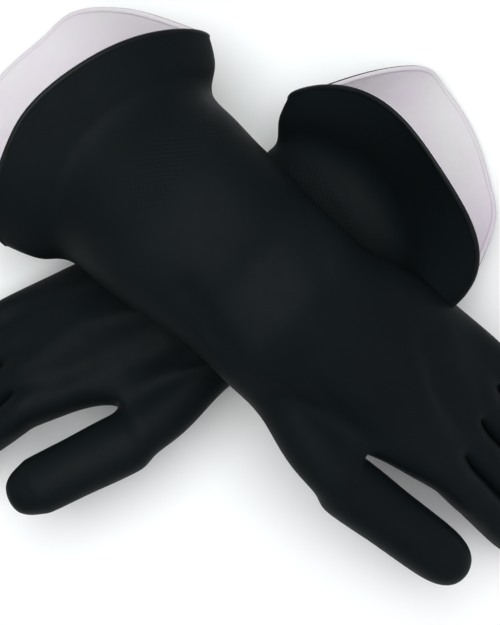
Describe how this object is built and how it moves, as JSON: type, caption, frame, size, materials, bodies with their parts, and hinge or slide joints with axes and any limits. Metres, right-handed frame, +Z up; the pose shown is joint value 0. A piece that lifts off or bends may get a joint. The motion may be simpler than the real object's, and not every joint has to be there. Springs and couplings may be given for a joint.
{
  "type": "electrical insulating gloves",
  "caption": "Crossed pair of long rubber insulating gloves, black outside and white inside, with belled slanted cuffs and fingers that bend.",
  "frame": {"origin": "on the floor, under the point where the two gloves' centre lines cross", "axes": "+Z up from the floor the gloves lie on, +Y towards the cuffs' side, +X to the right when the fingers point towards the viewer"},
  "size_m": [0.3999, 0.3433, 0.14],
  "materials": {
    "rubber": "smooth matt black dipped rubber with a soft sheen and a faint green-blue tint",
    "lining": "smooth off-white inner rubber layer, faintly lilac near the rim",
    "bead": "rolled black rubber edge, slightly shinier than the glove"
  },
  "bodies": {
    "right_gauntlet": {"right_gauntlet": "rubber", "right_gauntlet_lining": "lining", "right_cuff_bead": "bead"},
    "right_hand": {"right_hand": "rubber", "right_hand_lining": "lining"},
    "right_index_base": {"right_index_base": "rubber", "right_index_base_lining": "lining"},
    "right_index_tip": {"right_index_tip": "rubber", "right_index_tip_lining": "lining"},
    "right_middle_base": {"right_middle_base": "rubber", "right_middle_base_lining": "lining"},
    "right_middle_tip": {"right_middle_tip": "rubber", "right_middle_tip_lining": "lining"},
    "right_ring_base": {"right_ring_base": "rubber", "right_ring_base_lining": "lining"},
    "right_ring_tip": {"right_ring_tip": "rubber", "right_ring_tip_lining": "lining"},
    "right_little_base": {"right_little_base": "rubber", "right_little_base_lining": "lining"},
    "right_little_tip": {"right_little_tip": "rubber", "right_little_tip_lining": "lining"},
    "right_thumb_base": {"right_thumb_base": "rubber", "right_thumb_base_lining": "lining"},
    "right_thumb_tip": {"right_thumb_tip": "rubber", "right_thumb_tip_lining": "lining"},
    "left_gauntlet": {"left_gauntlet": "rubber", "left_gauntlet_lining": "lining", "left_cuff_bead": "bead"},
    "left_hand": {"left_hand": "rubber", "left_hand_lining": "lining"},
    "left_index_base": {"left_index_base": "rubber", "left_index_base_lining": "lining"},
    "left_index_tip": {"left_index_tip": "rubber", "left_index_tip_lining": "lining"},
    "left_middle_base": {"left_middle_base": "rubber", "left_middle_base_lining": "lining"},
    "left_middle_tip": {"left_middle_tip": "rubber", "left_middle_tip_lining": "lining"},
    "left_ring_base": {"left_ring_base": "rubber", "left_ring_base_lining": "lining"},
    "left_ring_tip": {"left_ring_tip": "rubber", "left_ring_tip_lining": "lining"},
    "left_little_base": {"left_little_base": "rubber", "left_little_base_lining": "lining"},
    "left_little_tip": {"left_little_tip": "rubber", "left_little_tip_lining": "lining"},
    "left_thumb_base": {"left_thumb_base": "rubber", "left_thumb_base_lining": "lining"},
    "left_thumb_tip": {"left_thumb_tip": "rubber", "left_thumb_tip_lining": "lining"}
  },
  "joints": [
    {"name": "right_wrist", "type": "hinge", "parent": "right_gauntlet", "child": "right_hand", "pos_m": [-0.02186, -0.01212, 0.03], "axis": [0.4848, -0.8746, 0], "range_deg": [-8, 25], "stiffness_Nm_per_rad": 1.5},
    {"name": "right_index_root", "type": "hinge", "parent": "right_hand", "child": "right_index_base", "pos_m": [-0.13194, -0.0863, 0.04811], "axis": [0.4868, -0.8045, 0.3401], "range_deg": [-10, 50], "stiffness_Nm_per_rad": 0.15},
    {"name": "right_index_middle", "type": "hinge", "parent": "right_index_base", "child": "right_index_tip", "pos_m": [-0.16065, -0.10707, 0.04007], "axis": [0.4868, -0.8045, 0.3401], "range_deg": [-9, 41], "stiffness_Nm_per_rad": 0.05},
    {"name": "right_middle_root", "type": "hinge", "parent": "right_hand", "child": "right_middle_base", "pos_m": [-0.13945, -0.06736, 0.04044], "axis": [0.4868, -0.8045, 0.3401], "range_deg": [-10, 50], "stiffness_Nm_per_rad": 0.15},
    {"name": "right_middle_middle", "type": "hinge", "parent": "right_middle_base", "child": "right_middle_tip", "pos_m": [-0.17106, -0.09024, 0.03158], "axis": [0.4868, -0.8045, 0.3401], "range_deg": [-9, 41], "stiffness_Nm_per_rad": 0.05},
    {"name": "right_ring_root", "type": "hinge", "parent": "right_hand", "child": "right_ring_base", "pos_m": [-0.14695, -0.04842, 0.03277], "axis": [0.4868, -0.8045, 0.3401], "range_deg": [-10, 50], "stiffness_Nm_per_rad": 0.15},
    {"name": "right_ring_middle", "type": "hinge", "parent": "right_ring_base", "child": "right_ring_tip", "pos_m": [-0.17639, -0.06972, 0.02452], "axis": [0.4868, -0.8045, 0.3401], "range_deg": [-9, 41], "stiffness_Nm_per_rad": 0.05},
    {"name": "right_little_root", "type": "hinge", "parent": "right_hand", "child": "right_little_base", "pos_m": [-0.15446, -0.02948, 0.0251], "axis": [0.4868, -0.8045, 0.3401], "range_deg": [-10, 50], "stiffness_Nm_per_rad": 0.15},
    {"name": "right_little_middle", "type": "hinge", "parent": "right_little_base", "child": "right_little_tip", "pos_m": [-0.17808, -0.04657, 0.01848], "axis": [0.4868, -0.8045, 0.3401], "range_deg": [-9, 41], "stiffness_Nm_per_rad": 0.05},
    {"name": "right_thumb_root", "type": "hinge", "parent": "right_hand", "child": "right_thumb_base", "pos_m": [-0.07171, -0.09869, 0.04673], "axis": [0.4463, -0.8605, 0.2457], "range_deg": [-10, 30], "stiffness_Nm_per_rad": 0.15},
    {"name": "right_thumb_middle", "type": "hinge", "parent": "right_thumb_base", "child": "right_thumb_tip", "pos_m": [-0.10791, -0.11641, 0.05045], "axis": [0.4463, -0.8605, 0.2457], "range_deg": [-9, 25], "stiffness_Nm_per_rad": 0.05},
    {"name": "left_wrist", "type": "hinge", "parent": "left_gauntlet", "child": "left_hand", "pos_m": [0.02491, -0.02165, 0.1], "axis": [0.6561, 0.7547, 0], "range_deg": [-20, 0], "stiffness_Nm_per_rad": 1.5},
    {"name": "left_index_root", "type": "hinge", "parent": "left_hand", "child": "left_index_base", "pos_m": [0.1139, -0.11445, 0.06238], "axis": [0.5519, 0.7804, -0.2939], "range_deg": [-10, 50], "stiffness_Nm_per_rad": 0.15},
    {"name": "left_index_middle", "type": "hinge", "parent": "left_index_base", "child": "left_index_tip", "pos_m": [0.13691, -0.13703, 0.04561], "axis": [0.5519, 0.7804, -0.2939], "range_deg": [-9, 41], "stiffness_Nm_per_rad": 0.05},
    {"name": "left_middle_root", "type": "hinge", "parent": "left_hand", "child": "left_middle_base", "pos_m": [0.12332, -0.09554, 0.05711], "axis": [0.5519, 0.7804, -0.2939], "range_deg": [-10, 50], "stiffness_Nm_per_rad": 0.15},
    {"name": "left_middle_middle", "type": "hinge", "parent": "left_middle_base", "child": "left_middle_tip", "pos_m": [0.14866, -0.12042, 0.03864], "axis": [0.5519, 0.7804, -0.2939], "range_deg": [-9, 41], "stiffness_Nm_per_rad": 0.05},
    {"name": "left_ring_root", "type": "hinge", "parent": "left_hand", "child": "left_ring_base", "pos_m": [0.13274, -0.07664, 0.05184], "axis": [0.5519, 0.7804, -0.2939], "range_deg": [-10, 50], "stiffness_Nm_per_rad": 0.15},
    {"name": "left_ring_middle", "type": "hinge", "parent": "left_ring_base", "child": "left_ring_tip", "pos_m": [0.15633, -0.0998, 0.03465], "axis": [0.5519, 0.7804, -0.2939], "range_deg": [-9, 41], "stiffness_Nm_per_rad": 0.05},
    {"name": "left_little_root", "type": "hinge", "parent": "left_hand", "child": "left_little_base", "pos_m": [0.14216, -0.05774, 0.04658], "axis": [0.5519, 0.7804, -0.2939], "range_deg": [-10, 50], "stiffness_Nm_per_rad": 0.15},
    {"name": "left_little_middle", "type": "hinge", "parent": "left_little_base", "child": "left_little_tip", "pos_m": [0.16109, -0.07632, 0.03278], "axis": [0.5519, 0.7804, -0.2939], "range_deg": [-9, 41], "stiffness_Nm_per_rad": 0.05},
    {"name": "left_thumb_root", "type": "hinge", "parent": "left_hand", "child": "left_thumb_base", "pos_m": [0.0548, -0.11618, 0.07929], "axis": [0.551, 0.8123, -0.191], "range_deg": [-10, 30], "stiffness_Nm_per_rad": 0.15},
    {"name": "left_thumb_middle", "type": "hinge", "parent": "left_thumb_base", "child": "left_thumb_tip", "pos_m": [0.08507, -0.13974, 0.06636], "axis": [0.551, 0.8123, -0.191], "range_deg": [-9, 25], "stiffness_Nm_per_rad": 0.05},
    {"name": "top_glove_lift", "type": "slide", "parent": "right_gauntlet", "child": "left_gauntlet", "axis": [0, 0, 1], "range_m": [0, 0.2]}
  ],
  "couplings": [
    {"joint": "right_index_middle", "follows": "right_index_root", "ratio": 0.8},
    {"joint": "right_middle_middle", "follows": "right_middle_root", "ratio": 0.8},
    {"joint": "right_ring_middle", "follows": "right_ring_root", "ratio": 0.8},
    {"joint": "right_little_middle", "follows": "right_little_root", "ratio": 0.8},
    {"joint": "right_thumb_middle", "follows": "right_thumb_root", "ratio": 0.8},
    {"joint": "left_index_middle", "follows": "left_index_root", "ratio": 0.8},
    {"joint": "left_middle_middle", "follows": "left_middle_root", "ratio": 0.8},
    {"joint": "left_ring_middle", "follows": "left_ring_root", "ratio": 0.8},
    {"joint": "left_little_middle", "follows": "left_little_root", "ratio": 0.8},
    {"joint": "left_thumb_middle", "follows": "left_thumb_root", "ratio": 0.8}
  ]
}
